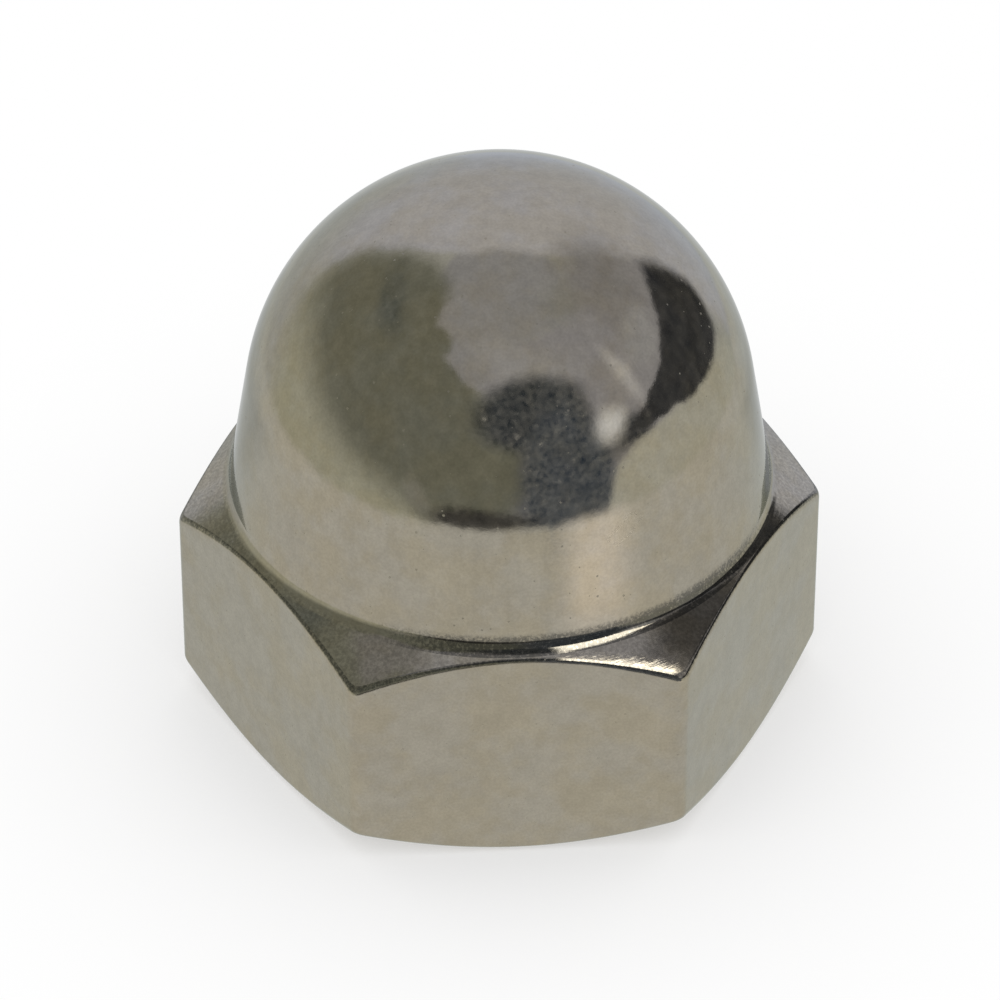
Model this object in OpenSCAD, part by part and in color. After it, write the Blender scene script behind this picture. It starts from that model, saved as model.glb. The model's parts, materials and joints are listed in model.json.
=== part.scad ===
// Domed cap nut, milled and turned from one piece of hexagon bar.
// The bearing face lies on z = 0 with the thread axis on +Z, and two of the six flats face along Y.
// The fine thread is left out: the hole is drilled to the thread's inner diameter.

/* [Hexagon] */
// Width across the flats
across_flats = 17; // [16:0.1:19]
// Height from the bearing face to the foot of the dome
hexagon_h = 7.7; // [6.5:0.05:8.5]
// Slope of the chamfer that runs down from the dome to the corners, in degrees
top_chamfer_angle = 37.5; // [25:0.5:42]
// Slope of the chamfer round the bearing face, in degrees
bottom_chamfer_angle = 30; // [15:0.5:45]
// Radial width of the bottom chamfer at the middle of each flat
bottom_chamfer_w = 0.25; // [0.1:0.05:0.6]
// Radius of the six upright edges
edge_r = 0.45; // [0.2:0.05:1]

/* [Dome] */
// Overall height of the nut
nut_h = 18; // [17:0.1:20]
// Lean of the dome's straight side from upright, in degrees
side_taper = 9; // [4:0.1:14]
// Step from the middle of each flat in to the foot of the dome
foot_step = 0.3; // [0.05:0.01:0.8]
// Radius of the fillet at the foot of the dome
neck_r = 0.65; // [0.3:0.05:0.9]

/* [Threaded hole] */
// Outer diameter of the thread
thread_d = 10; // [8:0.5:11]
// Pitch of the thread
thread_pitch = 1.5; // [1:0.05:1.75]
// Depth of the hole, without its drilled point
hole_depth = 13; // [9:0.1:13.5]
// Full angle of the drilled point
drill_point = 118; // [100:1:140]
// How far the countersink at the mouth spreads past the thread, across the diameter
mouth_spread = 0.8; // [0.2:0.1:1.5]
// Full angle of the countersink
mouth_angle = 90; // [80:1:120]

/* [Hidden] */
// Fineness of the curves
$fn = 180;
// How far a cutting shape reaches past the surface that it cuts
over = 0.5;
// How deep a smooth joint's two surfaces cross, so that each ends on a clean line
seam = 0.001;

flat_r = across_flats / 2;
// Centre of an upright edge's rounding, and how far out that edge reaches
edge_centre = (flat_r - edge_r) / cos(30);
corner_r = edge_centre + edge_r;
// Outer radius of the turned blank, clear of the corners
blank_r = corner_r + over;

// Foot of the dome, where its side meets the top chamfer
foot_r = flat_r - foot_step;
foot_z = hexagon_h;
// Crown radius that reaches the overall height and runs on smoothly from the side
crown_r = (foot_r * cos(side_taper) - (nut_h - foot_z) * sin(side_taper))
    / (1 - sin(side_taper));
crown_z = nut_h - crown_r;
// Where the side runs into the crown
side_top = [0, crown_z] + (crown_r - seam) * [cos(side_taper), sin(side_taper)];

// Fillet at the foot: its centre, and where it touches the side and the chamfer
side_out = [cos(side_taper), sin(side_taper)];
chamfer_out = [sin(top_chamfer_angle), cos(top_chamfer_angle)];
neck_reach = neck_r / (1 + sin(top_chamfer_angle + side_taper));
neck_centre = [foot_r, foot_z] + neck_reach * (side_out + chamfer_out);
neck_on_side = neck_centre - neck_r * side_out;
neck_on_chamfer = neck_centre - neck_r * chamfer_out;

// Heights of the two chamfers at the blank's outer radius, and the bearing face's radius
top_chamfer_z = foot_z - (blank_r - foot_r) * tan(top_chamfer_angle);
bearing_r = flat_r - bottom_chamfer_w;
bottom_chamfer_z = (blank_r - bearing_r) * tan(bottom_chamfer_angle);

// Hole radius at the thread's inner diameter, for the 60 degree thread form
hole_r = (thread_d - 1.0825 * thread_pitch) / 2;
mouth_r = (thread_d + mouth_spread) / 2;
mouth_depth = (mouth_r - hole_r) / tan(mouth_angle / 2);
point_h = hole_r / tan(drill_point / 2);

// Half section of the turned blank: crown, tapered side, chamfers, bearing face and neck
module blank_section() {
    intersection() {
        translate([0, crown_z]) circle(r = crown_r);
        translate([0, crown_z]) square(crown_r);
    }
    polygon([
        [0, 0],
        [bearing_r, 0],
        [blank_r, bottom_chamfer_z],
        [blank_r, top_chamfer_z],
        [foot_r, foot_z],
        side_top,
        [0, crown_z]
    ]);
    difference() {
        polygon([
            [foot_r - neck_r, foot_z - neck_r],
            neck_on_chamfer,
            neck_centre,
            neck_on_side
        ]);
        translate(neck_centre) circle(r = neck_r + seam);
    }
}

// Sharp hexagon corner outside an upright edge's rounding
module corner_waste() {
    difference() {
        translate([edge_centre, 0])
            polygon([
                [0, 0],
                [2 * edge_r * cos(30), -2 * edge_r * sin(30)],
                [4 * edge_r, 0],
                [2 * edge_r * cos(30), 2 * edge_r * sin(30)]
            ]);
        translate([edge_centre, 0]) circle(r = edge_r + seam);
    }
}

// Six flats with rounded upright edges
module hexagon_outline() {
    difference() {
        circle(r = flat_r / cos(30), $fn = 6);
        for (corner = [0:60:300])
            rotate(corner) corner_waste();
    }
}

// Drilled and countersunk hole
module threaded_hole() {
    translate([0, 0, -over])
        cylinder(h = hole_depth + over, r = hole_r);
    translate([0, 0, hole_depth])
        cylinder(h = point_h, r1 = hole_r, r2 = 0);
    translate([0, 0, -over])
        cylinder(
            h = mouth_depth + over,
            r1 = mouth_r + over * tan(mouth_angle / 2),
            r2 = hole_r
        );
}

module cap_nut() {
    color([0.64, 0.62, 0.56])
        difference() {
            intersection() {
                rotate_extrude() blank_section();
                translate([0, 0, -over])
                    linear_extrude(height = nut_h + 2 * over) hexagon_outline();
            }
            threaded_hole();
        }
}

cap_nut();
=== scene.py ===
import json
import math

import bmesh
import bpy
from bpy.props import FloatProperty, FloatVectorProperty, IntProperty, PointerProperty
from mathutils import Matrix, Vector


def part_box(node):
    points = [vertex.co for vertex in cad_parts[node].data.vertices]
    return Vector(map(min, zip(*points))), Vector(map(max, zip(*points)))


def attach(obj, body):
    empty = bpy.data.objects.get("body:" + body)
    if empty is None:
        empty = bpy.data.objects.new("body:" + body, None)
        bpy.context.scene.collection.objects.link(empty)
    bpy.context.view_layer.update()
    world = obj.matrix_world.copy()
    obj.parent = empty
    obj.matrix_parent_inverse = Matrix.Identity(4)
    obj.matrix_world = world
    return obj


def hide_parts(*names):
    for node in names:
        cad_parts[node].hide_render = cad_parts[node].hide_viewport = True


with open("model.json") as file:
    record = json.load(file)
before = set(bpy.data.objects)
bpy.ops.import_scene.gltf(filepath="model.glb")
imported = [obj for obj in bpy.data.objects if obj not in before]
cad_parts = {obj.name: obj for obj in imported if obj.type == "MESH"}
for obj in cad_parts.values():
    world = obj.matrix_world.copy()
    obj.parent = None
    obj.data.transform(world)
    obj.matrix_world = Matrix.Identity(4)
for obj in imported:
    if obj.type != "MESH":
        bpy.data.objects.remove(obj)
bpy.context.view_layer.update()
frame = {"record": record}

bl_info = {
    "name": "Domed Cap Nut",
    "version": (1, 0, 0),
    "blender": (4, 5, 0),
    "location": "3D View > Sidebar > Cap Nut",
    "description": "Models a polished domed cap nut and the studio that shows it",
    "category": "Add Mesh",
}

MM = 0.001
NUT_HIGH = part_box("cap_nut")[1]
THREAD = next(m for m in frame["record"]["mounts"] if m["name"] == "thread")
# Vertices closer than this are one
MERGE = 1e-7


# ---------------------------------------------------------------- sizes and colours


class NutSizes(bpy.types.PropertyGroup):
    """Sizes of the cap nut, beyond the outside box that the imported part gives"""

    hexagon_height: FloatProperty(
        name="Hexagon Height",
        description="Height from the bearing face to the foot of the dome",
        default=7.7 * MM, unit="LENGTH", precision=5,
    )
    foot_step: FloatProperty(
        name="Foot Step",
        description="Step from the middle of each flat in to the foot of the dome",
        default=0.3 * MM, unit="LENGTH", precision=5,
    )
    side_taper: FloatProperty(
        name="Side Taper",
        description="Lean of the dome's straight side from upright",
        default=math.radians(9), subtype="ANGLE",
    )
    neck_radius: FloatProperty(
        name="Neck Radius",
        description="Radius of the fillet at the foot of the dome",
        default=0.65 * MM, unit="LENGTH", precision=5,
    )
    top_chamfer: FloatProperty(
        name="Top Chamfer",
        description="Slope of the chamfer that runs down from the dome to the corners",
        default=math.radians(37.5), subtype="ANGLE",
    )
    bottom_chamfer: FloatProperty(
        name="Bottom Chamfer",
        description="Slope of the chamfer round the bearing face",
        default=math.radians(30), subtype="ANGLE",
    )
    bottom_chamfer_width: FloatProperty(
        name="Bottom Chamfer Width",
        description="Radial width of the bottom chamfer at the middle of each flat",
        default=0.25 * MM, unit="LENGTH", precision=5,
    )
    upright_rounding: FloatProperty(
        name="Upright Edge Rounding",
        description="Radius of the six upright edges",
        default=0.45 * MM, unit="LENGTH", precision=5,
    )
    corner_rounding: FloatProperty(
        name="Corner Rounding",
        description="Radius of the chamfers' edges at the hexagon's corners",
        default=0.42 * MM, unit="LENGTH", precision=5,
    )
    flat_rounding: FloatProperty(
        name="Flat Rounding",
        description="Radius of the chamfers' edges at the middle of each flat",
        default=0.22 * MM, unit="LENGTH", precision=5,
    )
    thread_diameter: FloatProperty(
        name="Thread Diameter",
        description="Outer diameter of the thread",
        default=10 * MM, unit="LENGTH", precision=5,
    )
    thread_pitch: FloatProperty(
        name="Thread Pitch",
        description="Pitch of the thread",
        default=1.5 * MM, unit="LENGTH", precision=5,
    )
    thread_length: FloatProperty(
        name="Thread Length",
        description="Height to which the thread is cut in full",
        default=10.5 * MM, unit="LENGTH", precision=5,
    )
    hole_depth: FloatProperty(
        name="Hole Depth",
        description="Depth of the hole, without its drilled point",
        default=13 * MM, unit="LENGTH", precision=5,
    )
    drill_point: FloatProperty(
        name="Drill Point",
        description="Full angle of the hole's drilled point",
        default=math.radians(118), subtype="ANGLE",
    )
    mouth_spread: FloatProperty(
        name="Mouth Spread",
        description="How far the countersink spreads past the thread, across the diameter",
        default=0.8 * MM, unit="LENGTH", precision=5,
    )
    thread_steps: IntProperty(
        name="Thread Steps",
        description="Steps in one turn of the thread",
        default=72, min=24, max=180,
    )
    face_width: FloatProperty(
        name="Face Width",
        description="Width of the bearing face's outer ring, in from the chamfer",
        default=0.6 * MM, unit="LENGTH", precision=5,
    )
    bearing_rounding: FloatProperty(
        name="Bearing Rounding",
        description="Radius where the bottom chamfer meets the bearing face",
        default=0.08 * MM, unit="LENGTH", precision=5,
    )
    crown_steps: IntProperty(
        name="Crown Steps",
        description="Steps from the dome's side to its pole",
        default=48, min=12, max=120,
    )
    columns: IntProperty(
        name="Columns",
        description="Steps round the nut",
        default=360, min=60, max=600,
    )


class NutFinish(bpy.types.PropertyGroup):
    """Polish of the stainless steel"""

    steel: FloatVectorProperty(
        name="Steel",
        description="Colour of the polished steel",
        default=(0.323, 0.291, 0.225), subtype="COLOR", size=3, min=0, max=1,
    )
    rim: FloatVectorProperty(
        name="Rim",
        description="How much of the white shine along the steel's rims stays",
        default=(0.76, 0.79, 0.78), subtype="COLOR", size=3, min=0, max=1,
    )
    roughness: FloatProperty(
        name="Roughness",
        description="Softness of the steel's mirror",
        default=0.07, min=0, max=1, subtype="FACTOR",
    )
    ledge_roughness: FloatProperty(
        name="Ledge Roughness",
        description="How much softer the mirror is on the turned ledge",
        default=0.01, min=0, max=1, subtype="FACTOR",
    )
    waviness: FloatProperty(
        name="Waviness",
        description="Height of the slow waves that the polishing left",
        default=0.012 * MM, unit="LENGTH", precision=6,
    )
    grain: FloatProperty(
        name="Grain",
        description="Height of the fine grain",
        default=0.0012 * MM, unit="LENGTH", precision=6,
    )
    speck_size: FloatProperty(
        name="Speck Size",
        description="Radius of the largest dull specks",
        default=0.045 * MM, unit="LENGTH", precision=6,
    )
    mark_depth: FloatProperty(
        name="Mark Depth",
        description="Depth of the tool marks on the turned ledge",
        default=0.0035 * MM, unit="LENGTH", precision=6,
    )
    # Painted shade with dirt speckle: how far it darkens the neck of the dome and the chamfer's edge
    shade_and_dirt: FloatProperty(
        name="Shade_and_Dirt",
        description="How much the neck of the dome and the chamfer's edge are darkened",
        default=0.72, min=0, max=1, subtype="FACTOR",
    )


class StudioSettings(bpy.types.PropertyGroup):
    """Where the camera stands and how it looks at the nut"""

    azimuth: FloatProperty(
        name="Azimuth",
        description="Camera's turn round the nut from straight in front of a flat",
        default=math.radians(-3.74), subtype="ANGLE",
    )
    elevation: FloatProperty(
        name="Elevation",
        description="Camera's height above the horizon",
        default=math.radians(39.2), subtype="ANGLE",
    )
    distance: FloatProperty(
        name="Distance",
        description="Camera's distance from the point it looks at",
        default=193.7 * MM, unit="LENGTH",
    )
    aim_height: FloatProperty(
        name="Aim Height",
        description="Height on the nut's axis that the camera looks at",
        default=6.66 * MM, unit="LENGTH", precision=5,
    )
    lens: FloatProperty(
        name="Lens",
        description="Focal length in millimetres",
        default=229.7,
    )


# ---------------------------------------------------------------- the nut's shape


# Steps of a rounded corner, and the narrow margin on both sides of its arc
ARC_STEPS = 8
ARC_MARGIN = 0.001 * MM
# Rows of points in a rounded corner: its arc and the two margins
ARC_ROWS = ARC_STEPS + 3
# How strongly the columns crowd to the hexagon's corners, from 0 to 1
COLUMN_GATHER = 0.88
# How far up the dome's side the painted shade and dirt of its neck fade
SHADE_AND_DIRT_REACH = 0.3 * MM
# How far the thread is first made below the face and above its full length, and how far above that length it
# is then cut off, in pitches
THREAD_BELOW = 1.5
THREAD_ABOVE = 2.0
THREAD_END = 1.2
# Cuts across each flank and flat of the thread
FLANK_CUTS = 4
# How close to a cutting plane a vertex counts as on it
ON_PLANE = 1e-8


def rounded_path(corners):
    """Points along a path of (point, radius) corners, each rounded by an arc and its margins."""
    path = [corners[0][0]]
    for (before, _), (corner, radius), (after, _) in zip(corners, corners[1:], corners[2:]):
        back = (before - corner).normalized()
        onward = (after - corner).normalized()
        half = back.angle(onward) / 2
        reach = radius / math.tan(half)
        centre = corner + (back + onward).normalized() * radius / math.sin(half)
        first = corner + back * reach - centre
        turn = first.angle_signed(corner + onward * reach - centre)
        path.append(corner + back * (reach + ARC_MARGIN))
        for step in range(ARC_STEPS + 1):
            path.append(centre + first @ Matrix.Rotation(turn * step / ARC_STEPS, 2))
        path.append(corner + onward * (reach + ARC_MARGIN))
    path.append(corners[-1][0])
    return path


def outside_section(sizes, edge_r, rounding):
    """Half section of the outside from the bearing face to the pole, where the hexagon reaches edge_r."""
    flat_r = NUT_HIGH.y
    height = NUT_HIGH.z
    taper = sizes.side_taper
    foot = Vector((flat_r - sizes.foot_step, sizes.hexagon_height))
    bearing_r = flat_r - sizes.bottom_chamfer_width
    face_start = Vector((bearing_r - sizes.face_width, 0))
    low = Vector((edge_r, (edge_r - bearing_r) * math.tan(sizes.bottom_chamfer)))
    high = Vector((edge_r, foot.y - (edge_r - foot.x) * math.tan(sizes.top_chamfer)))
    crown_r = (foot.x * math.cos(taper) - (height - foot.y) * math.sin(taper)) / (1 - math.sin(taper))
    crown_z = height - crown_r
    side_top = Vector((crown_r * math.cos(taper), crown_z + crown_r * math.sin(taper)))
    path = rounded_path([
        (face_start, 0),
        (Vector((bearing_r, 0)), sizes.bearing_rounding),
        (low, rounding),
        (high, rounding),
        (foot, sizes.neck_radius),
        (side_top, 0),
    ])
    # An extra row up the dome's side, over which the painted shade and dirt of the neck fade
    path.insert(-1, path[-2] + (side_top - foot).normalized() * SHADE_AND_DIRT_REACH)
    for step in range(1, sizes.crown_steps + 1):
        angle = taper + (math.pi / 2 - taper) * step / sizes.crown_steps
        path.append(Vector((crown_r * math.cos(angle), crown_z + crown_r * math.sin(angle))))
    path[-1].x = 0
    return path


def hexagon_reach(angle, flat_r, rounding):
    """Distance from the axis to the rounded hexagon at an angle from +X."""
    off = abs((angle + math.pi / 6) % (math.pi / 3) - math.pi / 6)
    centre = (flat_r - rounding) / math.cos(math.pi / 6)
    touch = math.atan2(rounding / 2, centre + rounding * math.cos(math.pi / 6))
    if off < touch:
        return centre * math.cos(off) + math.sqrt(rounding ** 2 - (centre * math.sin(off)) ** 2)
    return flat_r / math.cos(math.pi / 6 - off)


def turn_outside(sizes):
    """Turned blank of the outside, with its flats milled and its columns gathered at the corners."""
    flat_r, corner_r = NUT_HIGH.y, NUT_HIGH.x
    at_corner = outside_section(sizes, corner_r, sizes.corner_rounding)
    at_flat = outside_section(sizes, flat_r, sizes.flat_rounding)
    # Rows at which the top chamfer's outer edge and the neck start
    edge_start, neck_start = 1 + 2 * ARC_ROWS, 1 + 3 * ARC_ROWS
    ledge = range(edge_start + ARC_STEPS // 2, neck_start + ARC_STEPS // 2)
    bm = bmesh.new()
    inward = bm.verts.layers.float.new("inward")
    upward = bm.verts.layers.float.new("upward")
    turned = bm.verts.layers.float.new("turned")
    # Rows where painted shade and dirt darken the chamfer's outer edge and the neck
    edge_shade_and_dirt = bm.verts.layers.float.new("edge_shade_and_dirt")
    neck_shade_and_dirt = bm.verts.layers.float.new("neck_shade_and_dirt")
    verts = []
    for row, (corner_point, flat_point) in enumerate(zip(at_corner, at_flat)):
        vert = bm.verts.new((corner_point.x, 0, corner_point.y))
        vert[inward] = corner_point.x - flat_point.x
        vert[upward] = flat_point.y - corner_point.y
        vert[turned] = row in ledge
        vert[edge_shade_and_dirt] = edge_start + ARC_STEPS // 2 < row < neck_start - 1
        vert[neck_shade_and_dirt] = neck_start < row < neck_start + ARC_ROWS
        verts.append(vert)
    edges = [bm.edges.new(pair) for pair in zip(verts, verts[1:])]
    bmesh.ops.spin(
        bm, geom=verts + edges, cent=(0, 0, 0), axis=(0, 0, 1),
        angle=2 * math.pi, steps=sizes.columns, use_merge=True,
    )
    bmesh.ops.remove_doubles(bm, verts=bm.verts, dist=MERGE)
    for vert in bm.verts:
        radius = math.hypot(vert.co.x, vert.co.y)
        if radius < MERGE:
            continue
        angle = math.atan2(vert.co.y, vert.co.x)
        angle -= COLUMN_GATHER * math.sin(6 * angle) / 6
        reach = hexagon_reach(angle, flat_r, sizes.upright_rounding)
        milled = (corner_r - reach) / (corner_r - flat_r)
        radius -= vert[inward] * milled
        vert.co = (
            radius * math.cos(angle),
            radius * math.sin(angle),
            vert.co.z + vert[upward] * milled,
        )
    return bm


def cut_thread(sizes):
    """Threaded hole from the bearing face to the drilled point, open at the mouth."""
    inner_r = THREAD["dims"]["r_mm"] * MM
    outer_r = sizes.thread_diameter / 2
    pitch = sizes.thread_pitch
    mouth_r = outer_r + sizes.mouth_spread / 2
    low, high = -THREAD_BELOW * pitch, sizes.thread_length + THREAD_ABOVE * pitch
    bm = bmesh.new()
    # The flats are a quarter of the pitch at the inner diameter and an eighth at the outer one
    crest = pitch / 8
    form = [
        (inner_r, -crest), (inner_r, crest),
        (outer_r, pitch / 2 - crest / 2), (outer_r, pitch / 2 + crest / 2),
        (inner_r, pitch - crest),
    ]
    verts = [bm.verts.new((radius, 0, low + rise)) for radius, rise in form]
    edges = [bm.edges.new(pair) for pair in zip(verts, verts[1:])]
    bmesh.ops.subdivide_edges(bm, edges=edges, cuts=FLANK_CUTS)
    turns = math.ceil((high - low) / pitch)
    bmesh.ops.spin(
        bm, geom=bm.verts[:] + bm.edges[:], cent=(0, 0, 0), axis=(0, 0, 1),
        dvec=(0, 0, pitch / sizes.thread_steps),
        angle=2 * math.pi * turns, steps=sizes.thread_steps * turns,
    )
    bmesh.ops.remove_doubles(bm, verts=bm.verts, dist=MERGE)
    for vert in bm.verts:
        radius = math.hypot(vert.co.x, vert.co.y)
        fade = min(max((sizes.thread_length + pitch - vert.co.z) / pitch, 0), 1)
        target = max(inner_r + (radius - inner_r) * fade, mouth_r - vert.co.z)
        vert.co.x *= target / radius
        vert.co.y *= target / radius
    for height, side in ((0, False), (sizes.thread_length + THREAD_END * pitch, True)):
        bmesh.ops.bisect_plane(
            bm, geom=bm.verts[:] + bm.edges[:] + bm.faces[:], dist=ON_PLANE,
            plane_co=(0, 0, height), plane_no=(0, 0, 1), clear_outer=side, clear_inner=not side,
        )
    rim = [edge for edge in bm.edges if edge.is_boundary and edge.verts[0].co.z > MM]
    for height in (sizes.hole_depth, sizes.hole_depth + inner_r / math.tan(sizes.drill_point / 2)):
        grown = bmesh.ops.extrude_edge_only(bm, edges=rim)["geom"]
        rim = [part for part in grown if isinstance(part, bmesh.types.BMEdge)]
        tips = [part for part in grown if isinstance(part, bmesh.types.BMVert)]
        for vert in tips:
            vert.co.z = height
    bmesh.ops.pointmerge(bm, verts=tips, merge_co=(0, 0, height))
    return bm


def close_nut(outside, hole):
    """One closed mesh of the outside and the hole, joined by the bearing face."""
    part = bpy.data.meshes.new("hole")
    hole.to_mesh(part)
    hole.free()
    outside.from_mesh(part)
    bpy.data.meshes.remove(part)
    rims = [edge for edge in outside.edges if edge.is_boundary]
    bmesh.ops.triangle_fill(outside, use_beauty=True, edges=rims, normal=(0, 0, -1))
    bmesh.ops.recalc_face_normals(outside, faces=outside.faces)
    return outside


def finish_mesh(bm, name, material):
    """Smooth piece made of a mesh and a material."""
    for face in bm.faces:
        face.smooth = True
    mesh = bpy.data.meshes.new(name)
    bm.to_mesh(mesh)
    bm.free()
    mesh.materials.append(material)
    piece = bpy.data.objects.new(name, mesh)
    bpy.context.scene.collection.objects.link(piece)
    return piece


# ---------------------------------------------------------------- shader nodes


def new_material(name):
    """Material with nodes, and its node tree."""
    material = bpy.data.materials.new(name)
    material.use_nodes = True
    return material, material.node_tree


def new_node(tree, kind, settings=None, **links):
    """Shader node of a kind, with its settings, and its inputs fed by sockets or values.

    An input goes by its name, or by i and its number.
    """
    node = tree.nodes.new("ShaderNode" + kind)
    for name, value in (settings or {}).items():
        setattr(node, name, value)
    for name, given in links.items():
        numbered = name[0] == "i" and name[1:].isdigit()
        socket = node.inputs[int(name[1:]) if numbered else name]
        if isinstance(given, bpy.types.NodeSocket):
            tree.links.new(given, socket)
        else:
            socket.default_value = given
    return node


def math_node(tree, operation, *values):
    """Output of a math node fed by numbers or sockets."""
    links = {f"i{number}": value for number, value in enumerate(values)}
    return new_node(tree, "Math", {"operation": operation}, **links).outputs[0]


def vector_math(tree, operation, *values):
    """Output of a vector math node fed by vectors or sockets."""
    links = {f"i{number}": value for number, value in enumerate(values)}
    outputs = new_node(tree, "VectorMath", {"operation": operation}, **links).outputs
    return outputs["Value" if operation in ("LENGTH", "DOT_PRODUCT") else "Vector"]


def split(tree, vector):
    """The three parts of a vector."""
    return new_node(tree, "SeparateXYZ", i0=vector).outputs


def joined(tree, x, y, z=0.0):
    """Vector made of three parts."""
    return new_node(tree, "CombineXYZ", i0=x, i1=y, i2=z).outputs[0]


def coordinates(tree, kind):
    """Texture coordinates of a kind."""
    return new_node(tree, "TexCoord").outputs[kind]


def in_millimetres(tree):
    """Place on a piece in millimetres."""
    return new_node(tree, "Mapping", Vector=coordinates(tree, "Object"), Scale=(1 / MM,) * 3).outputs[0]


def attribute(tree, name):
    """Value of one of the mesh's own attributes."""
    return new_node(tree, "Attribute", {"attribute_name": name}).outputs["Fac"]


def soft_step(tree, value, low, high, to_low=0.0, to_high=1.0):
    """Value eased from to_low at low to to_high at high."""
    return new_node(
        tree, "MapRange", {"interpolation_type": "SMOOTHSTEP"},
        i0=value, i1=low, i2=high, i3=to_low, i4=to_high,
    ).outputs[0]


def mix_colour(tree, amount, under, over):
    """Colour that goes from under to over by amount."""
    return new_node(tree, "Mix", {"data_type": "RGBA"}, i0=amount, i6=under, i7=over).outputs[2]


def mix_shader(tree, amount, under, over):
    """Surface that goes from under to over by amount."""
    return new_node(tree, "MixShader", i0=amount, i1=under, i2=over).outputs[0]


def noise(tree, place, scale, detail=2.0, roughness=0.5, output="Fac"):
    """Noise about 0.5 at a place, with scale features to each unit of it."""
    return new_node(
        tree, "TexNoise", Vector=place, Scale=scale, Detail=detail, Roughness=roughness,
    ).outputs[output]


# ---------------------------------------------------------------- the steel


# Warm and cool tints of the steel's clouds, and the noise at which one gives way to the other
WARM_TINT = (1.018, 1.0, 0.96)
COOL_TINT = (0.982, 0.995, 1.035)
TINT_CHANGE = (0.38, 0.62)
# Layers of light and dark: features to a millimetre, detail, darkest and lightest
SHADE_LAYERS = ((3.0, 2.0, 0.97, 1.045), (1.1, 3.0, 0.97, 1.045), (12.0, 3.0, 0.96, 1.05))
# Noise that nearly spans a layer
SHADE_SPAN = (0.28, 0.72)
# How much darker and lighter the turned ledge is in places
LEDGE_SHADES = (-0.20, 0.16)
# Features to a millimetre
CLOUDS_PER_MM = 0.55
SMEARS_PER_MM = 0.8
WAVES_PER_MM = 0.25
GRAINS_PER_MM = 5.0
MARKS_PER_MM = 9.0
SHADE_AND_DIRT_SPECKS_PER_MM = 11.0
SPECKS_PER_MM = 3.8
# How much the smears vary the roughness
SMEAR_ROUGHNESS = 0.06
# How rough the dull specks are, and how strongly small ones outnumber large ones
SPECK_ROUGHNESS = 0.42
SPECK_RARITY = 3.0
# How dark the painted shade and dirt make the neck and the chamfer's outer edge, and the side on which the
# neck's painted shade is darkest
NECK_SHADE_AND_DIRT = 1.0
EDGE_SHADE_AND_DIRT = 0.7
SHADE_AND_DIRT_SIDE = (0.34, -0.94, 0)
# How squarely the neck faces that side where the painted shade and dirt start and where they are full, and
# how much of them lies elsewhere
SHADE_AND_DIRT_SPREAD = (0.55, 0.97)
SHADE_AND_DIRT_ELSEWHERE = 0.15
SHADE_AND_DIRT_COLOUR = (0.05, 0.05, 0.046, 1)


def steel_colour(tree, finish, place, turned):
    """Steel with cloudy tints and shades, and painted shade with dirt speckle darkening the neck and the
    chamfer's edge.
    """
    warm, cool = (
        tuple(part * weight for part, weight in zip(finish.steel, tint)) + (1,)
        for tint in (WARM_TINT, COOL_TINT))
    clouds = noise(tree, place, CLOUDS_PER_MM, 4.0, 0.6)
    tint = mix_colour(tree, soft_step(tree, clouds, *TINT_CHANGE), warm, cool)
    ledge = soft_step(tree, noise(tree, place, MARKS_PER_MM, 3.0, 0.7), 0.35, 0.7, *LEDGE_SHADES)
    shade = math_node(tree, "MULTIPLY_ADD", ledge, turned, 1.0)
    for scale, detail, darkest, lightest in SHADE_LAYERS:
        layer = soft_step(tree, noise(tree, place, scale, detail), *SHADE_SPAN, darkest, lightest)
        shade = math_node(tree, "MULTIPLY", shade, layer)
    clean = new_node(tree, "VectorMath", {"operation": "SCALE"}, i0=tint, Scale=shade).outputs[0]

    outward = vector_math(tree, "NORMALIZE", vector_math(tree, "MULTIPLY", place, (1, 1, 0)))
    side = vector_math(tree, "DOT_PRODUCT", outward, SHADE_AND_DIRT_SIDE)
    side = soft_step(tree, side, *SHADE_AND_DIRT_SPREAD, SHADE_AND_DIRT_ELSEWHERE * NECK_SHADE_AND_DIRT, NECK_SHADE_AND_DIRT)
    # Painted shade with dirt speckle, in the neck's crease (darkest on the front right) and along the
    # chamfer's outer edge
    shaded_and_dirty = math_node(tree, "MULTIPLY", side, attribute(tree, "neck_shade_and_dirt"))
    shaded_and_dirty = math_node(tree, "MULTIPLY_ADD", attribute(tree, "edge_shade_and_dirt"), EDGE_SHADE_AND_DIRT, shaded_and_dirty)
    speckled_darkening = math_node(tree, "MULTIPLY_ADD", noise(tree, place, SHADE_AND_DIRT_SPECKS_PER_MM, 4.0, 0.75), 4.0, -1.0)
    speckled_darkening = math_node(tree, "MULTIPLY", shaded_and_dirty, speckled_darkening)
    return mix_colour(tree, soft_step(tree, speckled_darkening, 0.1, 1.0, 0.0, finish.shade_and_dirt), clean, SHADE_AND_DIRT_COLOUR)


def steel_roughness(tree, finish, place, turned):
    """Roughness of the mirror, smeared, softer on the turned ledge and dull in small specks."""
    smears = noise(tree, place, SMEARS_PER_MM, 3.0)
    mirror = math_node(
        tree, "MULTIPLY_ADD", smears, SMEAR_ROUGHNESS, finish.roughness - SMEAR_ROUGHNESS / 2)
    mirror = math_node(tree, "MULTIPLY_ADD", turned, finish.ledge_roughness, mirror)
    cells = new_node(tree, "TexVoronoi", Vector=place, Scale=SPECKS_PER_MM).outputs
    size = math_node(tree, "POWER", split(tree, cells["Color"])[0], SPECK_RARITY)
    size = math_node(tree, "MULTIPLY", size, finish.speck_size / MM * SPECKS_PER_MM)
    speck = math_node(tree, "LESS_THAN", cells["Distance"], size)
    return math_node(tree, "MAXIMUM", mirror, math_node(tree, "MULTIPLY", speck, SPECK_ROUGHNESS))


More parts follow.
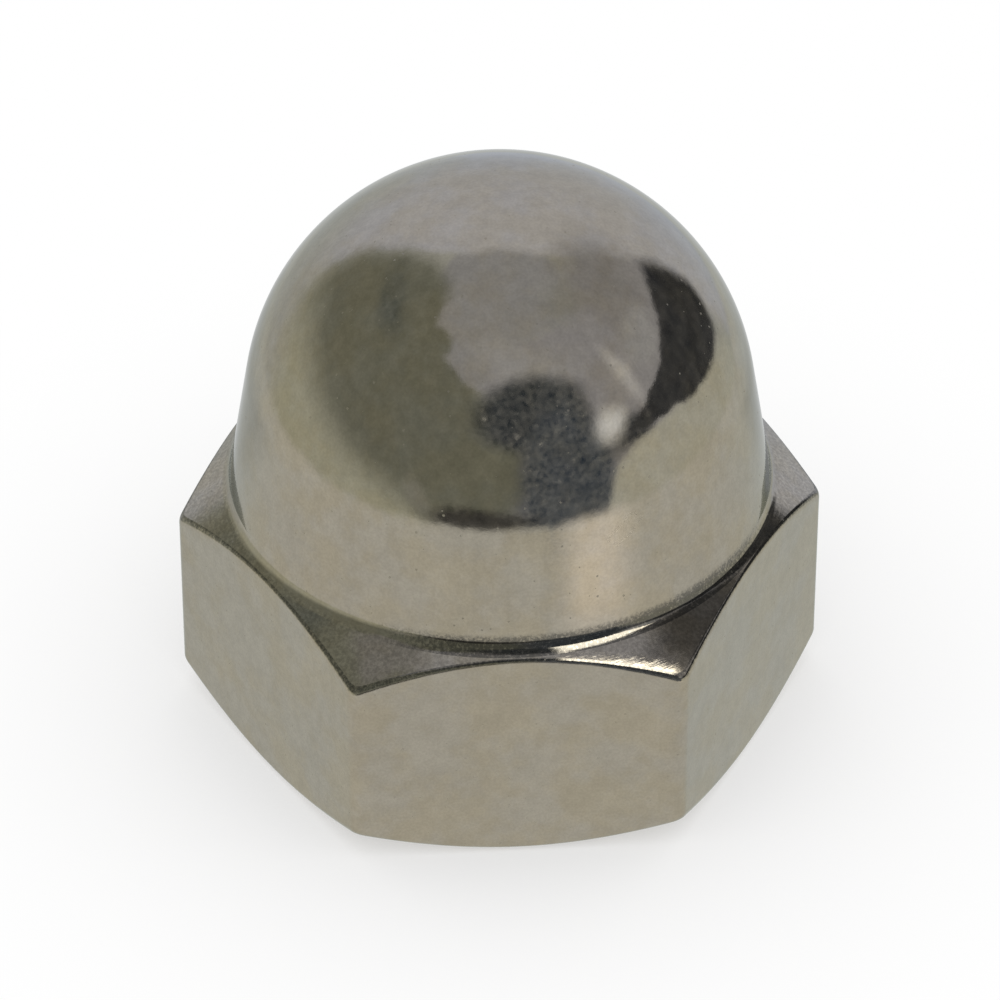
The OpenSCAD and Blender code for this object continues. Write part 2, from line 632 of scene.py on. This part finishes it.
def steel_relief(tree, finish, place, turned):
    """Bump of the polish's slow waves, the fine grain, and the rings of tool marks on the ledge."""
    x, y, _ = split(tree, place)
    radius = math_node(tree, "MULTIPLY_ADD", x, x, math_node(tree, "MULTIPLY", y, y))
    radius = math_node(tree, "SQRT", radius)
    ring = joined(tree, *(
        math_node(tree, "MULTIPLY", part, MARKS_PER_MM)
        for part in (math_node(tree, "DIVIDE", x, radius), math_node(tree, "DIVIDE", y, radius), radius)))
    marks = math_node(tree, "MULTIPLY", noise(tree, ring, 1.0, 4.0, 0.65), turned)
    height = None
    for layer, depth in (
        (noise(tree, place, WAVES_PER_MM, 1.0), finish.waviness),
        (noise(tree, place, GRAINS_PER_MM, 3.0, 0.6), finish.grain),
        (marks, finish.mark_depth),
    ):
        layer = math_node(tree, "MULTIPLY", layer, depth / MM)
        height = layer if height is None else math_node(tree, "ADD", height, layer)
    return new_node(tree, "Bump", Strength=1.0, Distance=MM, Height=height).outputs[0]


def steel_material(finish):
    """Polished stainless steel, with tool marks on the turned ledge, and a little painted shade and dirt at
    its neck and the chamfer's edge.
    """
    material, tree = new_material("polished_steel")
    place = in_millimetres(tree)
    turned = attribute(tree, "turned")
    shader = tree.nodes["Principled BSDF"]
    shader.inputs["Metallic"].default_value = 1
    shader.inputs["Specular Tint"].default_value = (*finish.rim, 1)
    for name, surface in (
        ("Base Color", steel_colour), ("Roughness", steel_roughness), ("Normal", steel_relief),
    ):
        tree.links.new(surface(tree, finish, place, turned), shader.inputs[name])
    return material


class CAPNUT_OT_make_nut(bpy.types.Operator):
    """Models the cap nut in place of its plain solid"""

    bl_idname = "capnut.make_nut"
    bl_label = "Make Cap Nut"
    bl_options = {"REGISTER", "UNDO"}

    def execute(self, context):
        scene = context.scene
        bm = close_nut(turn_outside(scene.nut_sizes), cut_thread(scene.nut_sizes))
        nut = finish_mesh(bm, "cap_nut_body", steel_material(scene.nut_finish))
        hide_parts("cap_nut")
        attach(nut, "root")
        return {"FINISHED"}


# ---------------------------------------------------------------- the studio


WHITE = (1, 1, 1, 1)
# Colours that come more than once in the room
FLOOR_SHADE = (0.95, 0.96, 0.97)
SHADED_FLOOR = (0.76, 0.77, 0.78)
GREY_SHADE = (0.585, 0.605, 0.69)
WINDOW_SHADE = (0.90, 0.94, 1.13)
OLIVE_SHADE = (0.335, 0.352, 0.315)
# Parts of the room that only mirrors see, each painted over those before it: its middle and half size as a
# turn from the front towards the right and a height above the horizon, in degrees, its tilt in degrees,
# whether it is square, how soft its edge is from 0 to 1, how much it widens to the right, and its colour
ROOM = (
    ("ceiling", (0, 95), (400, 31), 0, True, 0.06, 0, GREY_SHADE),
    ("back window", (174, 22), (48, 46), 0, True, 0.06, 0, WINDOW_SHADE),
    ("back window, wrapped", (-186, 22), (48, 46), 0, True, 0.06, 0, WINDOW_SHADE),
    ("olive side", (-76, 24), (62, 46), 0, True, 0.12, 0, OLIVE_SHADE),
    ("olive streak", (-105, 45.5), (23, 5), 0, False, 0.6, 0, (0.25, 0.275, 0.27)),
    ("grey slope", (-34, 70), (60, 20), -17, True, 0.08, 0, GREY_SHADE),
    ("grey side", (57, 24), (71, 40), 0, True, 0.05, 0, (0.595, 0.605, 0.70)),
    ("grey corner", (112, 48), (25, 18), 0, False, 0.7, 0, (0.48, 0.485, 0.54)),
    ("olive shoulder", (-60, 56), (14, 6.5), 0, False, 0.25, 0, OLIVE_SHADE),
    ("pale beam", (10, 55), (34, 9), -12, False, 0.8, 0, (0.67, 0.69, 0.78)),
    ("cloud", (84, 66), (24, 8), 0, False, 0.7, 0, (0.53, 0.55, 0.60)),
    ("window pane", (90, 31), (14, 8), 0, False, 0.4, 0, (0.66, 0.68, 0.77)),
    ("olive front", (-22, 13), (30, 28), 0, True, 0.15, 0, (0.33, 0.35, 0.32)),
    ("floor", (0, -58), (400, 40), 0, True, 0.06, 0, FLOOR_SHADE),
    ("left mound", (-90, -37), (58, 38), -15, True, 0.28, 0, (0.76, 0.78, 0.70)),
    ("far left floor", (-152, -20), (28, 24), 0, False, 0.5, 0, (0.80, 0.82, 0.86)),
    ("high charcoal", (13, 33), (30, 16), 0, False, 0.25, 0, (0.145, 0.16, 0.185)),
    ("low charcoal", (26, 0), (22, 36), 0, False, 0.25, 0, (0.185, 0.21, 0.26)),
    ("tip of the wedge", (59, 9), (11, 6), 0, False, 0.5, 0, (0.13, 0.14, 0.165)),
    ("right mound", (84, -32.8), (44, 34), -10, True, 0.06, 0, (0.88, 0.90, 0.87)),
    ("black wedge", (90, 10.2), (40, 10.2), 0, True, 0.09, 1.1, (0.09, 0.095, 0.11)),
    ("dark sill", (-12, -15), (22, 5.5), 0, False, 0.5, 0, (0.11, 0.11, 0.115)),
    ("smudge", (-39, -7), (4, 7), 30, False, 0.8, 0, (0.46, 0.47, 0.45)),
    ("low floor", (0, -59.5), (400, 40), 0, True, 0.06, 0, FLOOR_SHADE),
    ("floor behind", (180, -48), (42, 28), 0, True, 0.4, 0, SHADED_FLOOR),
    ("floor behind, wrapped", (-180, -48), (42, 28), 0, True, 0.4, 0, SHADED_FLOOR),
    ("light on the floor", (36, -24), (13, 6), 0, False, 0.8, 0, (1.42, 1.37, 1.36)),
    ("window", (49, 17), (7, 6), 0, False, 0.8, 0, (1.3, 1.35, 1.5)),
    ("window frame", (68, 30), (3.5, 12), 4, False, 0.8, 0, (0.96, 0.98, 1.09)),
)
# Colour of the room where none of its parts lies
WALL = (0.74, 0.77, 0.79, 1)
# How far the room's edges wander, in degrees
WANDER = (7, 6, 0)
# How much the room's brightness varies, and how much more where it is charcoal
MOTTLE = 0.26
DARK_MOTTLE = 0.75
# Share of its width to which a part that widens narrows at most
NARROWEST = 0.05


def room_part(tree, place, middle, half, tilt, square, soft, widening):
    """How much of a part of the room shows in a direction, from 0 to 1."""
    local = new_node(
        tree, "Mapping", {"vector_type": "TEXTURE"}, Vector=place, Location=(*middle, 0),
        Rotation=(0, 0, math.radians(tilt)), Scale=(*half, 1),
    ).outputs[0]
    if widening:
        across, up, _ = split(tree, local)
        width = math_node(tree, "MULTIPLY_ADD", across, widening, 1.0)
        width = math_node(tree, "MAXIMUM", width, NARROWEST)
        local = joined(tree, across, math_node(tree, "DIVIDE", up, width))
    if square:
        local = vector_math(tree, "MULTIPLY", local, local)
    reach = vector_math(tree, "LENGTH", local)
    if square:
        reach = math_node(tree, "SQRT", reach)
    return soft_step(tree, reach, 1 - soft, 1 + soft, 1.0, 0.0)


def room_place(tree, direction):
    """A direction's turn from the front and height above the horizon, in degrees, wandering a little."""
    x, y, z = split(tree, direction)
    turn = math_node(tree, "ARCTAN2", x, math_node(tree, "MULTIPLY", y, -1.0))
    rise = math_node(tree, "ARCSINE", z)
    place = joined(tree, *(math_node(tree, "DEGREES", angle) for angle in (turn, rise)))
    wobble = vector_math(tree, "SUBTRACT", noise(tree, direction, 5.0, 4.0, 0.6, "Color"), (0.5, 0.5, 0.5))
    return vector_math(tree, "MULTIPLY_ADD", wobble, WANDER, place)


def mottled(tree, direction, colour):
    """Colour with a slight mottle, and a finer one with sparkles where it is charcoal."""
    mottle = math_node(tree, "MULTIPLY_ADD", noise(tree, direction, 9.0, 4.0, 0.8), MOTTLE, -MOTTLE / 2)
    grey = new_node(tree, "RGBToBW", i0=colour).outputs[0]
    charcoal = math_node(
        tree, "MULTIPLY",
        soft_step(tree, grey, 0.09, 0.16), soft_step(tree, grey, 0.24, 0.30, DARK_MOTTLE, 0.0))
    fine = noise(tree, direction, 26.0, 3.0, 0.7)
    mottle = math_node(tree, "MULTIPLY_ADD", math_node(tree, "SUBTRACT", fine, 0.5), charcoal, mottle)
    mottle = math_node(tree, "MULTIPLY_ADD", soft_step(tree, fine, 0.66, 0.74), charcoal, mottle)
    return vector_math(tree, "ADD", colour, joined(tree, mottle, mottle, mottle))


def studio_world():
    """Room for mirrors alone; plain white to the camera and as light."""
    world = bpy.data.worlds.new("studio")
    world.use_nodes = True
    # Soft and even light is found quickly without a map of it
    world.cycles.sampling_method = "NONE"
    tree = world.node_tree
    direction = coordinates(tree, "Generated")
    place = room_place(tree, direction)
    colour = WALL
    for _, middle, half, tilt, square, soft, widening, shade in ROOM:
        amount = room_part(tree, place, middle, half, tilt, square, soft, widening)
        colour = mix_colour(tree, amount, colour, (*shade, 1))
    path = new_node(tree, "LightPath").outputs
    plain = math_node(tree, "MAXIMUM", path["Is Camera Ray"], path["Is Diffuse Ray"])
    shown = mix_colour(tree, plain, mottled(tree, direction, colour), WHITE)
    tree.links.new(shown, tree.nodes["Background"].inputs["Color"])
    return world


# Half size of the floor, and how far it lies under the bearing face
FLOOR_HALF = 500 * MM
FLOOR_GAP = 0.01 * MM
# Distances from the axis over which the shadow fades and over which the mirrored floor clears
SHADOW_FADE = (8 * MM, 24 * MM)
FLOOR_CLEARS = (22 * MM, 30 * MM)
# Share of the floor under the nut that is plain white, while the rest takes the shadow
WHITE_SHARE = 0.45
# Distances behind the axis over which the mirrored floor dims with painted shade, and its brightness there
FLOOR_DIMS = (7 * MM, 13 * MM)
FLOOR_BEHIND = 0.76


def floor_material():
    """White floor with a soft shadow; in the steel it shows near the nut, with painted shade behind it, and
    clears to the room.
    """
    material, tree = new_material("pale_floor")
    place = coordinates(tree, "Object")
    reach = vector_math(tree, "LENGTH", place)
    matt = new_node(tree, "BsdfDiffuse", Color=WHITE).outputs[0]
    white = new_node(tree, "Emission", Color=WHITE, Strength=1.0).outputs[0]
    clear = new_node(tree, "BsdfTransparent").outputs[0]
    seen = mix_shader(tree, soft_step(tree, reach, *SHADOW_FADE, WHITE_SHARE, 1.0), matt, white)
    # Painted shade: the mirrored floor is darker behind the nut
    light = soft_step(tree, split(tree, place)[1], *FLOOR_DIMS, 1.0, FLOOR_BEHIND)
    plain = new_node(tree, "Emission", Color=(*FLOOR_SHADE, 1), Strength=light).outputs[0]
    mirrored = mix_shader(tree, soft_step(tree, reach, *FLOOR_CLEARS), plain, clear)
    shown = mix_shader(tree, new_node(tree, "LightPath").outputs["Is Glossy Ray"], seen, mirrored)
    below = new_node(tree, "NewGeometry").outputs["Backfacing"]
    shown = mix_shader(tree, below, shown, clear)
    tree.links.new(shown, tree.nodes["Material Output"].inputs["Surface"])
    return material


def pale_floor():
    """Pale floor that reaches far to all sides, and is clear from below."""
    bm = bmesh.new()
    bmesh.ops.create_grid(bm, x_segments=1, y_segments=1, size=FLOOR_HALF)
    bmesh.ops.translate(bm, verts=bm.verts, vec=(0, 0, -FLOOR_GAP))
    finish_mesh(bm, "floor", floor_material())


# Small cards over the front corners that put streaks of light and quiet greys into the chamfer below them:
# middle and half size in millimetres, turn in degrees, height over the bearing face, colour, how fully
# they cover and how ragged their borders are
CARDS = (
    ("light_card", (4.5, -10.55), (2.85, 1.45), 5.5, 9.5, (7.5, 7.3, 7.0), 1.0, 0.24),
    ("dark_card", (8.2, -6.4), (3.5, 3.3), 0, 9.6, (0.07, 0.07, 0.075), 0.86, 0.5),
    ("grey_card", (-5.0, -8.35), (1.9, 1.25), 0, 9.6, (0.44, 0.44, 0.48), 0.75, 0.5),
)


def card_material(name, shade, cover, ragged):
    """Card that only mirrors below it see, with ragged, fading borders."""
    material, tree = new_material(name)
    light = new_node(tree, "Emission", Color=(*shade, 1), Strength=1.0).outputs[0]
    clear = new_node(tree, "BsdfTransparent").outputs[0]
    # 0 in the middle of the card and 1 at its borders
    off = math_node(tree, "MAXIMUM", *(
        math_node(tree, "ABSOLUTE", math_node(tree, "MULTIPLY_ADD", side, 2.0, -1.0))
        for side in split(tree, coordinates(tree, "UV"))[:2]))
    ragged_off = math_node(
        tree, "MULTIPLY_ADD", noise(tree, in_millimetres(tree), 9.0, 4.0, 0.7), 2 * ragged, off)
    covered = soft_step(tree, ragged_off, 1.0, 1 + ragged, cover, 0.0)
    glossy = new_node(tree, "LightPath").outputs["Is Glossy Ray"]
    from_below = new_node(tree, "NewGeometry").outputs["Backfacing"]
    amount = math_node(tree, "MULTIPLY", math_node(tree, "MULTIPLY", glossy, covered), from_below)
    shown = mix_shader(tree, amount, clear, light)
    tree.links.new(shown, tree.nodes["Material Output"].inputs["Surface"])
    return material


def make_cards():
    """Cards that light and shade the front chamfer."""
    for name, middle, half, turn, height, shade, cover, ragged in CARDS:
        bm = bmesh.new()
        bm.loops.layers.uv.new("map")
        bmesh.ops.create_grid(bm, x_segments=1, y_segments=1, size=1, calc_uvs=True)
        bmesh.ops.scale(bm, verts=bm.verts, vec=(half[0] * MM, half[1] * MM, 1))
        bmesh.ops.rotate(
            bm, verts=bm.verts, cent=(0, 0, 0), matrix=Matrix.Rotation(math.radians(turn), 3, "Z"))
        bmesh.ops.translate(bm, verts=bm.verts, vec=Vector((*middle, height)) * MM)
        card = finish_mesh(bm, name, card_material(name, shade, cover, ragged))
        card.visible_camera = card.visible_diffuse = card.visible_shadow = False


# Nearest and farthest that the camera sees, in metres
CLIP_NEAR = 0.01
CLIP_FAR = 10


class CAPNUT_OT_make_studio(bpy.types.Operator):
    """Sets up the floor, the camera, and the room and cards that the steel mirrors"""

    bl_idname = "capnut.make_studio"
    bl_label = "Make Studio"
    bl_options = {"REGISTER", "UNDO"}

    def execute(self, context):
        scene = context.scene
        studio = scene.studio_settings
        camera = bpy.data.objects.new("camera", bpy.data.cameras.new("camera"))
        scene.collection.objects.link(camera)
        scene.camera = camera
        camera.data.lens = studio.lens
        camera.data.clip_start, camera.data.clip_end = CLIP_NEAR, CLIP_FAR
        back = Vector((
            math.sin(studio.azimuth) * math.cos(studio.elevation),
            -math.cos(studio.azimuth) * math.cos(studio.elevation),
            math.sin(studio.elevation),
        ))
        camera.location = Vector((0, 0, studio.aim_height)) + back * studio.distance
        camera.rotation_euler = (-back).to_track_quat("-Z", "Y").to_euler()
        scene.view_settings.view_transform = "Standard"
        scene.world = studio_world()
        pale_floor()
        make_cards()
        return {"FINISHED"}


class CAPNUT_PT_sidebar(bpy.types.Panel):
    """Sizes, finish and studio of the cap nut"""

    bl_label = "Cap Nut"
    bl_space_type = "VIEW_3D"
    bl_region_type = "UI"
    bl_category = "Cap Nut"

    def draw(self, context):
        scene = context.scene
        for settings in (scene.nut_sizes, scene.nut_finish, scene.studio_settings):
            column = self.layout.column()
            for name in type(settings).__annotations__:
                column.prop(settings, name)
        self.layout.operator(CAPNUT_OT_make_nut.bl_idname)
        self.layout.operator(CAPNUT_OT_make_studio.bl_idname)


CLASSES = (
    NutSizes, NutFinish, StudioSettings,
    CAPNUT_OT_make_nut, CAPNUT_OT_make_studio, CAPNUT_PT_sidebar,
)


def register():
    for cls in CLASSES:
        bpy.utils.register_class(cls)
    bpy.types.Scene.nut_sizes = PointerProperty(type=NutSizes)
    bpy.types.Scene.nut_finish = PointerProperty(type=NutFinish)
    bpy.types.Scene.studio_settings = PointerProperty(type=StudioSettings)


def unregister():
    del bpy.types.Scene.studio_settings
    del bpy.types.Scene.nut_finish
    del bpy.types.Scene.nut_sizes
    for cls in reversed(CLASSES):
        bpy.utils.unregister_class(cls)


def main():
    register()
    bpy.ops.capnut.make_nut()
    bpy.ops.capnut.make_studio()


if __name__ == "__main__":
    main()
